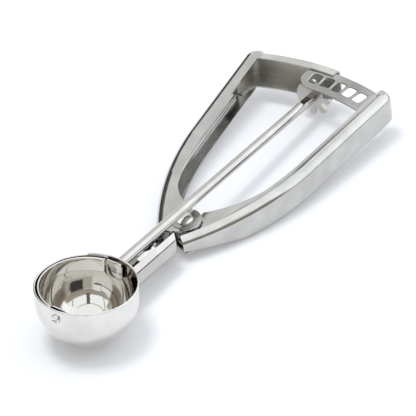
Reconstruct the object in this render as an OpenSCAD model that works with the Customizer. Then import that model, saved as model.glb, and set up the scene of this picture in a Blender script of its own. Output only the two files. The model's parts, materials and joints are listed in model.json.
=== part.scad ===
// Squeeze-handle ice cream scoop, all stainless steel, lying on its bowl and handles.
// Squeezing the handles slides a slotted rack past a pinion, which turns the rod and the
// scraper blade inside the bowl. Two frames are used: the rod frame (X along the rod from
// the bowl's centre to the grip, Z square to the rim) and the grip frame (X and Y in the
// plane of the handles, Z along the pivot, zero at the top of the pivot rivet).

/* [Bowl] */
// Outside radius of the bowl
bowl_r = 25.4; // [22:0.2:30]
// Sheet thickness of the bowl
bowl_wall = 1; // [0.6:0.1:1.4]
// Depth of the bowl's spherical centre below the rod's axis
bowl_drop = 1.6; // [0.5:0.1:3]
// Height of the rim above the rod's axis
rim_rise = 5; // [4:0.5:8]
// Thickness of the saddle plate behind the bowl
saddle_t = 1; // [0.6:0.1:1.5]
// Half of the saddle plate's width
saddle_half_w = 14; // [10:0.5:17]
// Depth of the saddle plate's lower end below the rod's axis
saddle_low = 17; // [13:0.5:20]
// Rise of the saddle plate's upper edge above the rim
saddle_above_rim = 0.6; // [0:0.1:1.5]
// Radius of the saddle plate's lower corners
saddle_corner_r = 8; // [4:0.5:10]

/* [Scraper blade] */
// Running clearance of the blade to the bowl's side wall
blade_gap = 0.5; // [0.3:0.1:1.2]
// Thickness of the blade
blade_t = 0.8; // [0.5:0.1:1.2]
// Width of the blade
blade_w = 7.6; // [5:0.2:10]
// Lift of the resting blade's middle above the rim plane's side, in degrees
blade_rest = 3; // [0:0.5:6]
// Width of the blade's end tabs
tab_w = 9.4; // [8:0.2:12]
// Length of the tabs past the rod's axis
tab_past = 5; // [4:0.5:6]
// Radius of the tabs' corners
tab_corner_r = 1.5; // [0.5:0.1:2.5]
// Radius of the front pin's shank
pin_r = 1.8; // [1.2:0.1:2.5]
// Length of the front pin inside the blade's tab
pin_inside = 0.6; // [0.2:0.1:1]
// Radius of the front pin's head
pin_head_r = 2.5; // [2:0.1:3.5]
// Height of the front pin's head
pin_head_h = 1.2; // [0.8:0.1:2]

/* [Rod and pinion] */
// Radius of the rod
rod_r = 2.6; // [2:0.1:3.4]
// Length of the rod's squared end in the blade's tab
tenon_l = 1.5; // [1.2:0.1:2.5]
// Width of the squared end
tenon_w = 4; // [3:0.1:4.6]
// Height of the squared end
tenon_h = 3; // [2:0.1:3.6]
// Height over the rod's two flats under the pinion
flats_h = 4; // [3:0.1:4.6]
// Length of the rod's flats ahead of the pinion
flats_l = 11; // [4:0.5:20]
// Radius of the rod's rear journal
journal_r = 1.2; // [0.8:0.1:1.4]
// Length of the journal past the rear wall of the guide
journal_past = 0.3; // [0.1:0.1:1]
// Length of the bush that carries the rod in the back of the bowl
bearing_l = 3; // [2.6:0.1:6]
// Wall of that bush
bearing_wall = 1; // [0.5:0.1:1.2]
// Pitch radius of the pinion
pitch_r = 8.95; // [8.4:0.05:9.2]
// Angle between the pinion's teeth
tooth_step = 45; // [45:1:45]
// Number of teeth
teeth = 5; // [3:1:5]
// Rise of a tooth above the pitch radius
addendum = 1.5; // [1:0.05:1.8]
// Radius of the pinion's hub at the bottom of the tooth gaps
root_r = 5.6; // [4.5:0.1:6.2]
// Width of a tooth
tooth_w = 3.3; // [2.5:0.1:3.8]
// First angle of the pinion's plain sector
plain_from = -60; // [-65:1:-50]
// Last angle of the plain sector
plain_to = 50; // [40:1:55]
// Radius of the pinion's plain sector
plain_r = 9.6; // [8:0.1:9.8]
// Thickness of the pinion
pinion_t = 1.5; // [1:0.1:2]

/* [Shank] */
// Outside radius of the tube behind the bowl
shank_r = 7.6; // [6.6:0.1:8.6]
// Wall of the tube
shank_wall = 1; // [0.8:0.1:1.4]
// Depth of the tube's axis below the rod's axis
shank_drop = 9.3; // [8.4:0.1:10.4]
// Length of the tube behind the bowl
shank_l = 42.6; // [30:0.2:60]
// Half width of the slot along the tube's top
slot_half_w = 4.6; // [3.5:0.1:5.5]
// Radius of the hollow cut at the tube's rear end
end_cut_r = 8; // [6:0.5:12]

/* [Pivot] */
// Distance from the tube's rear end to the pivot
pivot_gap = 15.4; // [14:0.2:20]
// Depth of the rivet's top below the rod's axis
pivot_drop = 5.2; // [4.6:0.1:7]
// Radius of the rivet's head
rivet_head_r = 4.3; // [3.4:0.1:5]
// Height of the rivet's head
rivet_head_h = 1.2; // [0.8:0.1:1.6]
// Radius of the rivet's shank
rivet_r = 2.5; // [1.8:0.1:3]
// Radius of the washers
washer_r = 7; // [5.5:0.1:7.6]
// Thickness of the washers
washer_t = 0.4; // [0.3:0.05:0.6]
// Height of the spacer between the upper ears
spacer_h = 2.9; // [1.2:0.1:3.4]
// Height of the coil spring's room between the moving handle's ears
spring_room = 3.8; // [3.2:0.1:5]
// Radius of the round ears
ear_r = 8.5; // [7.8:0.1:9]
// Wire thickness of the spring
wire_d = 0.9; // [0.6:0.05:1.1]
// Mean radius of the spring's coil
coil_r = 5; // [4.6:0.1:6]
// Full turns of the coil
coil_turns = 2; // [1:1:3]
// Length of the spring's arms
arm_l = 21; // [10:0.5:21.5]
// Angle of the spring's arms to the centre line
arm_angle = 50; // [45:1:54]

/* [Handles] */
// Sheet thickness of the handles
sheet = 1; // [0.8:0.05:1.2]
// Full height of the handles
grip_h = 16.8; // [15.6:0.2:19]
// Height of the handles' front ends
front_h = 8.6; // [6:0.2:10]
// Station from the pivot at which the handles reach full height
full_x = 19; // [15:0.5:30]
// Radius of the handles' bow
bow_r = 157; // [140:1:175]
// Station at which the straight tails start
tail_x = 62.2; // [58:0.2:68]
// Half width over the handles where the tails start
tail_half_w = 37.2; // [35:0.2:39]
// Splay angle of the tails
tail_angle = 5.9; // [4:0.1:8]
// Distance from the line where rack and pinion mesh back to the handles' rear end wall
rear_past_mesh = 15.2; // [13:0.2:18]
// Radius of the handles' rear corners
rear_corner_r = 6.5; // [5:0.1:8]
// Width of the handles' flanges
flange_w = 8.3; // [7:0.1:9.5]
// Radius of the shoulder along the top of the handles
shoulder_r = 4; // [2.5:0.1:4.5]
// Radius of the bend along the bottom of the handles
bottom_r = 2; // [1.3:0.1:3]
// Distance from the moving handle's outer face to the foot of its ridge
ridge_w = 8; // [7.6:0.1:8.6]
// Rounding of the ridge's outer side
ridge_shoulder_r = 4.4; // [3.4:0.1:5]
// Rise of the moving handle's lower edge round its rear corner
tip_rise = 3; // [0:0.2:4]
// Width of the moving handle's upper side, ridge and lip
lip_w = 9.2; // [8.8:0.1:11]
// Radius of the fixed handle's curve into its upper ear
flare_r = 29.8; // [24:0.2:34]
// Station at which that curve leaves the flange
flare_x = 27; // [22:0.5:32]
// Radius of the moving handle's curve towards the pivot
lip_flare_r = 65; // [50:0.5:80]
// Station at which that curve leaves the lip
lip_flare_x = 45; // [38:0.5:52]
// Radius of the inner ears' curves into the walls
inner_flare_r = 14; // [10:0.5:18]
// Station at which those curves leave the walls
inner_flare_x = 14; // [11:0.5:18]
// Length of the fixed handle's sleeve along the tube
sleeve_l = 18; // [10:0.5:24]
// Rise of the sleeve's edge above the tube's axis
sleeve_rise = 1.5; // [0:0.1:4]

/* [Rack and guide] */
// Radius from the pivot to the line where rack and pinion mesh
mesh_r = 120.8; // [116:0.2:124]
// Thickness of the rack
rack_t = 1; // [0.8:0.05:1.2]
// Width of the rack
rack_w = 16.4; // [13:0.2:17]
// Distance from the mesh line to the middle of the rack
rack_offset = 2.6; // [2:0.1:3]
// Length of a rack window across the rack
window_l = 7.3; // [6.6:0.1:8]
// Width of a rack window along the rack
window_w = 5.7; // [4.6:0.1:5.9]
// Corner radius of the rack windows
window_corner_r = 1.6; // [0.4:0.1:2]
// Sheet thickness of the guide
guide_t = 0.85; // [0.6:0.05:1]
// Width of the guide's upper flange
guide_top_w = 6.2; // [4:0.1:7]
// Width of the guide's lower flange
guide_low_w = 12.3; // [8:0.1:13]
// Bend radius along the bottom of the guide
guide_bend_r = 1.2; // [1.1:0.1:1.6]
// Radius of the inner corner of the guide's lower flange
guide_fillet_r = 5; // [3:0.5:7]
// Width of the flanges of the guide's leg
guide_leg_w = 4.4; // [3.6:0.1:5]
// Angle from the centre line to the guide's free end
guide_end = 3.3; // [2.5:0.1:3.8]
// Length of the guide's leg along the fixed handle
guide_leg = 15; // [8:0.5:30]

/* [Clearances] */
// Running clearance between stacked moving sheets
sheet_gap = 0.05; // [0.03:0.01:0.1]
// Radial running clearance of shafts and pins
bore_gap = 0.05; // [0.02:0.01:0.1]
// Film of braze or solder between joined pieces
braze_gap = 0.05; // [0.02:0.01:0.1]

/* [Hidden] */
$fn = 96;
join = 0.02;
seam = 0.3;

// Stations and angles of the whole
pivot_x = bowl_r + shank_l + pivot_gap;
ridge_z = -rivet_head_h - washer_t;
ear_top_z = ridge_z - sheet;
guide_top_z = ear_top_z - sheet_gap;
lip_z = guide_top_z - guide_t - sheet_gap;
rack_mid_z = lip_z - rack_t / 2;
grip_tilt = asin((pitch_r + pivot_drop) / norm([mesh_r, rack_mid_z])) + atan(-rack_mid_z / mesh_r);
bottom_z = ridge_z - grip_h;
rear_r = mesh_r + rear_past_mesh;
pinion_x = pivot_x + mesh_r * cos(grip_tilt) - rack_mid_z * sin(grip_tilt);
rack_ratio = mesh_r / pitch_r;

// Resting attitude: a line that touches the bowl's sphere and the handles' lowest edge
edge_x = pivot_x + full_x * cos(grip_tilt) - bottom_z * sin(grip_tilt);
edge_z = -pivot_drop + full_x * sin(grip_tilt) + bottom_z * cos(grip_tilt);
rest_slope = atan((edge_z + bowl_drop) / edge_x) + asin(bowl_r / norm([edge_x, edge_z + bowl_drop]));
rest_lift = bowl_r + bowl_drop * cos(rest_slope);

// Scraper blade: its round and the inner faces of its tabs
blade_r = bowl_r - bowl_wall - blade_gap;
tab_x = sqrt(pow(blade_r, 2) - pow(tab_w / 2, 2)) - blade_t - blade_gap;

// Bow, tail and rear corner of the handles, seen along the pivot, on the side of +Y
bow_center = [tail_x + bow_r * sin(tail_angle), tail_half_w - bow_r * cos(tail_angle)];
nose_y = shank_r + sheet / 2;
front_x = bow_center.x - sqrt(pow(bow_r, 2) - pow(nose_y - bow_center.y, 2));
front_a = atan2(nose_y - bow_center.y, front_x - bow_center.x);
full_a = acos((full_x - bow_center.x) / bow_r);
tail_a = 90 + tail_angle;
tail_start = [tail_x, tail_half_w];
tail_dir = [cos(tail_angle), sin(tail_angle)];
tail_in = [sin(tail_angle), -cos(tail_angle)];
corner_along = along_tail(rear_corner_r, rear_r - rear_corner_r);
corner_center = tail_point(rear_corner_r, corner_along);
corner_a = atan2(corner_center.y, corner_center.x);
edge_w = max(shoulder_r, ridge_shoulder_r) + 1.5;
run_out = 0.08;
ridge_foot = (ridge_w - ridge_shoulder_r) / (lip_w - ridge_shoulder_r);
bend_steps = 5;
guide_in = sheet + sheet_gap;
guide_r = rear_r - guide_in;
guide_low_z = bottom_z + sheet + sheet_gap;

// Levels of the pivot stack, from the top
moving_ear_z = ear_top_z - spacer_h;
spring_top_z = moving_ear_z - sheet;
spring_low_z = spring_top_z - spring_room;
moving_low_z = spring_low_z - sheet;
fixed_low_z = moving_low_z - washer_t - 2 * sheet_gap;
stack_low_z = fixed_low_z - sheet;
pocket_r = ear_r + 0.7;
front_slope = (grip_h - front_h) / (full_x - front_x);

// Middle of the whole length at rest, between the front pin's head and the guide's web
grip_slope = grip_tilt - rest_slope;
front_end = -(bowl_r + pin_head_h) * cos(rest_slope) - pin_head_r * sin(rest_slope);
rear_end = pivot_x * cos(rest_slope) - pivot_drop * sin(rest_slope)
    + guide_r * cos(grip_slope) - guide_low_z * sin(grip_slope);

// Shapes that several pieces share

module at_rest() {
    translate([-(front_end + rear_end) / 2, 0, rest_lift]) rotate([0, rest_slope, 0]) children();
}

module in_grip_plane() {
    translate([pivot_x, 0, -pivot_drop]) rotate([0, -grip_tilt, 0]) children();
}

module along_x() {
    rotate([90, 0, 90]) children();
}

function blend(a, b, t) = a + (b - a) * t;

function smooth(t) = let (c = min(1, max(0, t))) c * c * (3 - 2 * c);

function unit(a) = [cos(a), sin(a)];

// Part of a circle round [u, z] in steps, bulging outwards or, with side = -1, inwards
function bend(r, u, z, from, to, side = 1) = [for (k = [0 : bend_steps])
    let (a = blend(from, to, k / bend_steps)) [u - side * r * cos(a), z + r * sin(a), 0]];

// Distance along the tail at which a line inset from its outer face is r away from the pivot
function along_tail(inset, r) = let (foot = tail_start + inset * tail_in)
    sqrt(pow(foot * tail_dir, 2) - foot * foot + r * r) - foot * tail_dir;

function tail_point(inset, along) = tail_start + inset * tail_in + along * tail_dir;

// A station is [outer point, inward direction, upper edge point, lower edge point, lower level,
// share of the ridge's height]; the ridge runs out round the rear corner.
// Stations of a handle whose upper flange is w wide, from its nose round its rear corner
function grip_stations(w, rise = 0) =
    let (
        last = tail_point(w, along_tail(w, rear_r - edge_w)),
        tip_a = atan2(last.y, last.x),
        first = tail_point(w, corner_along),
        first_low = tail_point(flange_w, corner_along)
    ) concat(
        [for (a = concat([for (k = [0 : 8]) blend(front_a, full_a, k / 9)],
            [for (k = [0 : 9]) blend(full_a, tail_a, k / 9)]))
            let (p = bow_center + bow_r * unit(a), widen = smooth(p.x / full_x))
                [p, -unit(a), p - blend(edge_w, w, widen) * unit(a),
                    p - blend(edge_w, flange_w, widen) * unit(a),
                    max(bottom_z, ridge_z - front_h - front_slope * (p.x - front_x)), 1]],
        [for (k = [0 : 9]) let (a = blend(tail_a, corner_a, k / 9), t = k / 10)
            [corner_center + rear_corner_r * unit(a), -unit(a), blend(first, last, t),
                blend(first_low, last, t), bottom_z + rise * (1 - sqrt(1 - t * t)),
                blend(1, run_out, smooth(1.5 * t - 0.5))]],
        [[rear_r * unit(tip_a), -unit(tip_a), last, last, bottom_z + rise, run_out]]);

// A ring's points are [distance in from the outer face, height, kind]. Kind 1 and 2 lie on the
// upper and lower edge points instead, and kind 3 at a share of the way from the ridge's crest
// to the upper edge point. Plain channel with a rounded shoulder
function channel_ring(low, low_r, top, top_r, t) = concat(
    [[0, top, 1]], bend(top_r, top_r, top - top_r, 90, 0), bend(low_r, low_r, low + low_r, 0, -90),
    [[0, low, 2], [0, low + t, 2]],
    bend(low_r - t, low_r, low + low_r, -90, 0), bend(top_r - t, top_r, top - top_r, 0, 90),
    [[0, top - t, 1]]);

// Points above a level, drawn down to a share of their height above it
function drawn(points, level, share) =
    [for (p = points) [p[0], p[1] > level ? blend(level, p[1], share) : p[1], p[2]]];

function past_crest(points) =
    [for (p = points) [(p[0] - ridge_shoulder_r) / (lip_w - ridge_shoulder_r), p[1], 3]];

// Channel whose lip rises in an S-curve to a broad outer ridge
function ridge_ring(low, share) =
    let (
        run = ridge_w - ridge_shoulder_r,
        turn = 2 * atan((ridge_z - lip_z) / run),
        curve_r = run / (2 * sin(turn)),
        out_r = ridge_shoulder_r,
        lip_in = lip_z - sheet
    ) concat(
        drawn(concat(
            [[0, lip_z, 1]],
            past_crest(bend(curve_r, ridge_w, lip_z + curve_r, -90, turn - 90)),
            past_crest(bend(curve_r, out_r, ridge_z - curve_r, 90 - turn, 90, -1)),
            bend(out_r, out_r, ridge_z - out_r, 90, 0),
            bend(bottom_r, bottom_r, low + bottom_r, 0, -90),
            [[0, low, 2]]), lip_z, share),
        drawn(concat(
            [[0, low + sheet, 2]],
            bend(bottom_r - sheet, bottom_r, low + bottom_r, -90, 0),
            bend(out_r - sheet, out_r, ridge_z - out_r, 0, 90),
            past_crest(bend(curve_r - sheet, out_r, ridge_z - curve_r, 90, 90 - turn, -1)),
            past_crest(bend(curve_r + sheet, ridge_w, lip_z + curve_r, turn - 90, -90)),
            [[0, lip_in, 1]]), lip_in, share));

function place(station, p) = let (
        crest = station[0] + ridge_shoulder_r * station[1],
        xy = p[2] == 1 ? station[2] : p[2] == 2 ? station[3] : p[2] == 3
            ? blend(crest, station[2], p[0]) : station[0] + p[0] * station[1]
    ) [xy.x, xy.y, p[1]];

// Solid through one ring of points for each station; a ring runs out along the outer face
// and back along the inner one, so opposite points close its ends
module loft(rings) {
    n = len(rings[0]);
    last = len(rings) - 1;
    cap = [for (i = [0 : n / 2 - 2]) [n - 1 - i, n - 2 - i, i + 1, i]];
    polyhedron(
        points = [for (ring = rings) each ring],
        faces = concat(
            cap,
            [for (k = [0 : last - 1], i = [0 : n - 1])
                let (a = k * n + i, b = k * n + (i + 1) % n) each [[a, b, a + n], [b, b + n, a + n]]],
            [for (quad = cap) [for (i = [3 : -1 : 0]) last * n + quad[i]]]),
        convexity = 6);
}

// Flat ear: a disc round the pivot joined to the handle's wall, with a curved rear edge
module ear(low, curve_r, edge, inset, far_x) {
    curve_a = acos((far_x - bow_center.x) / (bow_r - edge));
    curve_center = bow_center + (bow_r - edge - curve_r) * unit(curve_a);
    translate([0, 0, low]) linear_extrude(sheet) union() {
        circle(ear_r);
        difference() {
            intersection() {
                polygon([[0, 0], [-0.9 * ear_r, -0.45 * ear_r], [front_x + 3 * sheet, 0.4 * ear_r],
                    [front_x + sheet, nose_y], [front_x + sheet, tail_half_w], [far_x, tail_half_w],
                    [far_x, ear_r], [ear_r, 0]]);
                translate(bow_center) circle(bow_r - inset, $fn = 360);
            }
            translate(curve_center) circle(curve_r);
        }
    }
}

// Bowl end

module bowl() {
    color("gainsboro") at_rest() difference() {
        union() {
            translate([0, 0, -bowl_drop]) sphere(bowl_r);
            translate([0, 0, -bowl_drop]) cylinder(r = bowl_r, h = bowl_drop + rim_rise);
        }
        translate([0, 0, -bowl_drop]) sphere(bowl_r - bowl_wall);
        translate([0, 0, -bowl_drop]) cylinder(r = bowl_r - bowl_wall, h = bowl_drop + rim_rise + 1);
        translate([-bowl_r, -bowl_r, rim_rise]) cube([2 * bowl_r, 2 * bowl_r, bowl_r]);
        translate([-2 * bowl_r, 0, 0]) along_x() cylinder(r = pin_r + braze_gap, h = 2 * bowl_r);
        along_x() cylinder(r = rod_r + bore_gap + bearing_wall, h = 2 * bowl_r);
    }
}

// Plate that follows the back of the bowl, with rounded lower corners
module bowl_saddle() {
    outer_r = bowl_r + braze_gap + saddle_t;
    top_z = rim_rise + saddle_above_rim;
    color("silver") at_rest() difference() {
        intersection() {
            union() {
                translate([0, 0, -bowl_drop]) sphere(outer_r);
                translate([0, 0, -bowl_drop]) cylinder(r = outer_r, h = bowl_drop + top_z);
            }
            along_x() linear_extrude(2 * bowl_r) union() {
                translate([-saddle_half_w, saddle_corner_r - saddle_low])
                    square([2 * saddle_half_w, saddle_low - saddle_corner_r + top_z]);
                for (side = [-1, 1])
                    translate([side * (saddle_half_w - saddle_corner_r), saddle_corner_r - saddle_low])
                        circle(saddle_corner_r);
                translate([saddle_corner_r - saddle_half_w, -saddle_low])
                    square([2 * (saddle_half_w - saddle_corner_r), saddle_corner_r]);
            }
        }
        translate([0, 0, -bowl_drop]) sphere(bowl_r + braze_gap);
        translate([0, 0, -bowl_drop]) cylinder(r = bowl_r + braze_gap, h = bowl_drop + top_z + 1);
        along_x() cylinder(r = rod_r + bore_gap + bearing_wall, h = 2 * bowl_r);
    }
}

// Tube with a slot along its top, brazed to the saddle
module shank() {
    joint_r = bowl_r + 2 * braze_gap + saddle_t;
    color("silver") at_rest() difference() {
        translate([0, 0, -shank_drop]) along_x() difference() {
            cylinder(r = shank_r, h = bowl_r + shank_l);
            translate([0, 0, -1]) cylinder(r = shank_r - shank_wall, h = bowl_r + shank_l + 2);
        }
        translate([0, 0, -bowl_drop]) sphere(joint_r);
        translate([0, 0, -bowl_drop]) cylinder(r = joint_r, h = bowl_r);
        translate([0, -slot_half_w, -shank_drop])
            cube([bowl_r + shank_l + 1, 2 * slot_half_w, 2 * shank_r]);
        translate([bowl_r + shank_l + end_cut_r / 2, 0, -shank_drop])
            rotate([90, 0, 0]) cylinder(r = end_cut_r, h = 4 * shank_r, center = true);
    }
}

// Short sleeve that carries the rod through the back of the bowl
module bowl_bearing() {
    start_x = sqrt(pow(bowl_r - bowl_wall, 2) - pow(rod_r + bearing_wall, 2));
    color("darkgray") at_rest() translate([start_x, 0, 0]) along_x() difference() {
        cylinder(r = rod_r + bearing_wall, h = bearing_l);
        translate([0, 0, -1]) cylinder(r = rod_r + bore_gap, h = bearing_l + 2);
    }
}

module front_pin() {
    head_x = -bowl_r - pin_head_h;
    pin_l = -head_x - tab_x + pin_inside;
    color("tan") at_rest() difference() {
        union() {
            translate([head_x, 0, 0]) along_x() cylinder(r = pin_head_r, h = pin_head_h);
            translate([head_x, 0, 0]) along_x() cylinder(r = pin_r, h = pin_l);
        }
        translate([head_x - pin_r / 2, 0, 0]) sphere(pin_r);
    }
}

// Curved strip with a flat tab at each end, staked on the rod and free on the front pin
module scraper_blade() {
    color("silver") at_rest() rotate([blade_rest, 0, 0]) difference() {
        union() {
            intersection() {
                difference() {
                    sphere(blade_r);
                    sphere(blade_r - blade_t);
                }
                translate([-tab_x - blade_t / 2, 0, -blade_w / 2])
                    cube([2 * tab_x + blade_t, blade_r, blade_w]);
            }
            for (side = [-1, 1])
                translate([side * (tab_x + blade_t / 2) - blade_t / 2, 0, 0]) along_x() blade_tab();
        }
        translate([-2 * bowl_r, 0, 0]) along_x() cylinder(r = pin_r + bore_gap, h = 2 * bowl_r);
        translate([0, -tenon_w / 2 - braze_gap, -tenon_h / 2 - braze_gap])
            cube([bowl_r, tenon_w + 2 * braze_gap, tenon_h + 2 * braze_gap]);
    }
}

module blade_tab() {
    straight = tab_w / 2 - tab_corner_r;
    reach = tab_w / 2;
    linear_extrude(blade_t) {
        translate([-tab_past, -straight]) square([tab_past + reach, 2 * straight]);
        translate([tab_corner_r - tab_past, -tab_w / 2])
            square([tab_past + reach - 2 * tab_corner_r, tab_w]);
        for (x = [tab_corner_r - tab_past, reach - tab_corner_r], y = [-straight, straight])
            translate([x, y]) circle(tab_corner_r);
    }
}

// Rod and pinion

module rod() {
    shoulder_x = tab_x + blade_t + sheet_gap;
    pinion_back = pinion_x + pinion_t / 2;
    end_x = pivot_x + (guide_r - pivot_drop * sin(grip_tilt)) / cos(grip_tilt) + journal_past;
    color("lightgray") at_rest() difference() {
        union() {
            translate([shoulder_x, 0, 0]) along_x() cylinder(r = rod_r, h = pinion_back - shoulder_x);
            translate([pinion_back - join, 0, 0]) along_x() cylinder(r = journal_r, h = end_x - pinion_back);
            rotate([blade_rest, 0, 0]) translate([tab_x + blade_t - tenon_l, -tenon_w / 2, -tenon_h / 2])
                cube([tenon_l + 2 * sheet_gap, tenon_w, tenon_h]);
        }
        for (side = [0, 1]) mirror([0, 0, side])
            translate([pinion_back - pinion_t - flats_l, -rod_r, flats_h / 2])
                cube([pinion_t + flats_l + join, 2 * rod_r, rod_r]);
    }
}

// Stamped plate with long rounded teeth over part of its edge
module pinion() {
    tip_r = pitch_r + addendum;
    color("gray") at_rest() translate([pinion_x - pinion_t / 2, 0, 0]) along_x() linear_extrude(pinion_t)
        difference() {
            union() {
                circle(root_r);
                for (i = [0 : teeth - 1]) rotate(90 + i * tooth_step) {
                    translate([0, -tooth_w / 2]) square([tip_r - tooth_w / 2, tooth_w]);
                    translate([tip_r - tooth_w / 2, 0]) circle(tooth_w / 2);
                }
                intersection() {
                    circle(plain_r);
                    polygon([[0, 0], 2 * plain_r * unit(plain_from), [2 * plain_r, 0],
                        2 * plain_r * unit(plain_to)]);
                }
            }
            intersection() {
                circle(rod_r + braze_gap);
                square([4 * rod_r, flats_h + 2 * braze_gap], center = true);
            }
        }
}

// Handles

module fixed_handle() {
    color("lightsteelblue") at_rest() union() {
        in_grip_plane() {
            loft([for (s = grip_stations(flange_w))
                [for (p = channel_ring(s[4], bottom_r, ridge_z, shoulder_r, sheet)) place(s, p)]]);
            difference() {
                union() {
                    ear(ridge_z - sheet, flare_r, flange_w - seam, shoulder_r, flare_x);
                    ear(stack_low_z, inner_flare_r, sheet, sheet / 2, inner_flare_x);
                }
                translate([0, 0, bottom_z]) cylinder(r = rivet_r + braze_gap, h = grip_h + 1);
            }
        }
        nose_sleeve();
    }
}

// Quarter sleeve that wraps the underside of the tube and is brazed to it
module nose_sleeve() {
    start = bowl_r + shank_l - sleeve_l;
    length = pivot_x + front_x + sleeve_rise + 2 * sheet - start;
    translate([start, 0, -shank_drop]) along_x() difference() {
        cylinder(r = shank_r + braze_gap + sheet, h = length);
        translate([0, 0, -1]) cylinder(r = shank_r + braze_gap, h = length + 2);
        translate([-2 * shank_r, -2 * shank_r, -1]) cube([2 * shank_r, 4 * shank_r, length + 2]);
        translate([-1, sleeve_rise, -1]) cube([2 * shank_r, 2 * shank_r, length + 2]);
    }
}

module moving_handle() {
    color("whitesmoke") at_rest() in_grip_plane() mirror([0, 1, 0]) {
        loft([for (s = grip_stations(lip_w, tip_rise))
            [for (p = ridge_ring(s[4], s[5])) place(s, p)]]);
        moving_lip();
        moving_ears();
    }
}

// Broad front of the lip, cut round the pivot
module moving_lip() {
    edge_r = bow_r - lip_w + seam;
    curve_a = acos((lip_flare_x - bow_center.x) / edge_r);
    curve_center = bow_center + (edge_r - lip_flare_r) * unit(curve_a);
    foot = [for (s = grip_stations(lip_w)) if (s[0].x < tail_x + join)
        blend(s[0] + ridge_shoulder_r * s[1], s[2], ridge_foot)];
    translate([0, 0, lip_z - sheet]) linear_extrude(sheet) difference() {
        intersection() {
            polygon([[-rivet_r, pocket_r], [-rivet_r, tail_half_w], [lip_flare_x, tail_half_w],
                [lip_flare_x, shank_r], [pocket_r, ear_r / 2], [rivet_r, ear_r / 2]]);
            polygon(concat([[0, 0]], foot, [[tail_x, 0]]));
        }
        translate(curve_center) circle(lip_flare_r);
        circle(pocket_r);
    }
}

// Ears joggled down from the lip, joined to it by a curved step round the pivot
module moving_ears() {
    difference() {
        union() {
            ear(spring_top_z, inner_flare_r, sheet, sheet / 2, inner_flare_x);
            ear(moving_low_z, inner_flare_r, sheet, sheet / 2, inner_flare_x);
            intersection() {
                translate([0, 0, spring_top_z]) difference() {
                    cylinder(r = pocket_r + sheet, h = lip_z - spring_top_z);
                    translate([0, 0, -1]) cylinder(r = pocket_r, h = lip_z - spring_top_z + 2);
                }
                translate([-rivet_r, ear_r / 2, spring_top_z - 1])
                    cube([2 * pocket_r, 2 * pocket_r, lip_z - spring_top_z + 2]);
            }
        }
        translate([0, 0, bottom_z]) cylinder(r = rivet_r + bore_gap, h = grip_h + 1);
    }
}

// Channel brazed into the fixed handle's rear end: it guides the rack and carries the rod
module guide_channel() {
    color("dimgray") at_rest() difference() {
        in_grip_plane() loft([for (s = guide_stations())
            [for (p = channel_ring(guide_low_z, guide_bend_r, guide_top_z, shoulder_r - guide_in, guide_t))
                place(s, p)]]);
        translate([pinion_x, 0, 0]) along_x() cylinder(r = journal_r + bore_gap, h = bow_r);
    }
}

// Stations of the guide, from its free end round the corner to the end of its leg
function guide_stations() =
    let (
        inset = guide_in + guide_leg_w + guide_fillet_r,
        fillet = tail_point(inset, along_tail(inset, guide_r - guide_low_w - guide_fillet_r)),
        fillet_a = atan2(fillet.y, fillet.x),
        corner_r = rear_corner_r - guide_in,
        leg_edge = tail_point(guide_in + guide_leg_w, corner_along),
        leg_end = corner_along - guide_leg
    ) concat(
        [for (k = [0 : 7])
            let (a = blend(-guide_end, corner_a, k / 7), b = blend(-guide_end, fillet_a, k / 7))
            [guide_r * unit(a), -unit(a), (guide_r - guide_top_w) * unit(a),
                (guide_r - guide_low_w) * unit(b), guide_low_z]],
        [for (k = [1 : 6]) let (a = blend(corner_a, tail_a, k / 6), b = blend(fillet_a, tail_a, k / 6))
            [corner_center + corner_r * unit(a), -unit(a),
                blend((guide_r - guide_top_w) * unit(corner_a), leg_edge, k / 6),
                fillet + guide_fillet_r * unit(b), guide_low_z]],
        [[tail_point(guide_in, leg_end), tail_in, tail_point(guide_in + 0.75 * guide_leg_w, leg_end),
            tail_point(guide_in + 0.75 * guide_leg_w, leg_end), guide_low_z]]);

// Curved plate with a row of windows that mesh with the pinion, brazed to the moving lip
module rack() {
    mid_r = mesh_r + rack_offset;
    window_step = tooth_step * pitch_r / mesh_r;
    seam = [for (along = [0, 2 * corner_along]) tail_point(lip_w + braze_gap, along)];
    color("darkgray") at_rest() in_grip_plane() translate([0, 0, lip_z - rack_t]) linear_extrude(rack_t)
        difference() {
            union() {
                intersection() {
                    difference() {
                        circle(mid_r + rack_w / 2, $fn = 360);
                        circle(mid_r - rack_w / 2, $fn = 360);
                    }
                    polygon([[0, 0], [2 * mid_r, 0], [seam[1].x, -seam[1].y], [seam[0].x, -seam[0].y]]);
                }
                translate([mid_r, 0]) circle(rack_w / 2);
            }
            for (i = [0 : teeth - 1]) rotate(-i * window_step) translate([mid_r, 0]) rack_window();
        }
}

module rack_window() {
    square([window_l - 2 * window_corner_r, window_w], center = true);
    square([window_l, window_w - 2 * window_corner_r], center = true);
    for (x = [-1, 1], y = [-1, 1])
        translate([x * (window_l / 2 - window_corner_r), y * (window_w / 2 - window_corner_r)])
            circle(window_corner_r);
}

// Pivot stack

module pivot_rivet() {
    color("silver") at_rest() in_grip_plane() {
        intersection() {
            translate([0, 0, -rivet_head_h]) cylinder(r = rivet_head_r, h = rivet_head_h);
            translate([0, 0, -3 * rivet_head_r]) sphere(3 * rivet_head_r);
        }
        translate([0, 0, stack_low_z - washer_t])
            cylinder(r = rivet_r, h = washer_t - stack_low_z - rivet_head_h + join);
        translate([0, 0, stack_low_z - washer_t - rivet_head_h])
            cylinder(r = 0.85 * rivet_head_r, h = rivet_head_h);
    }
}

module washer(top, h, r, hole_r) {
    in_grip_plane() translate([0, 0, top - h]) difference() {
        cylinder(r = r, h = h);
        translate([0, 0, -1]) cylinder(r = hole_r, h = h + 2);
    }
}

module head_washer() {
    color("gainsboro") at_rest() washer(-rivet_head_h, washer_t, washer_r, rivet_r + bore_gap);
}

module tail_washer() {
    color("gainsboro") at_rest() washer(stack_low_z, washer_t, washer_r, rivet_r + bore_gap);
}

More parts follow.
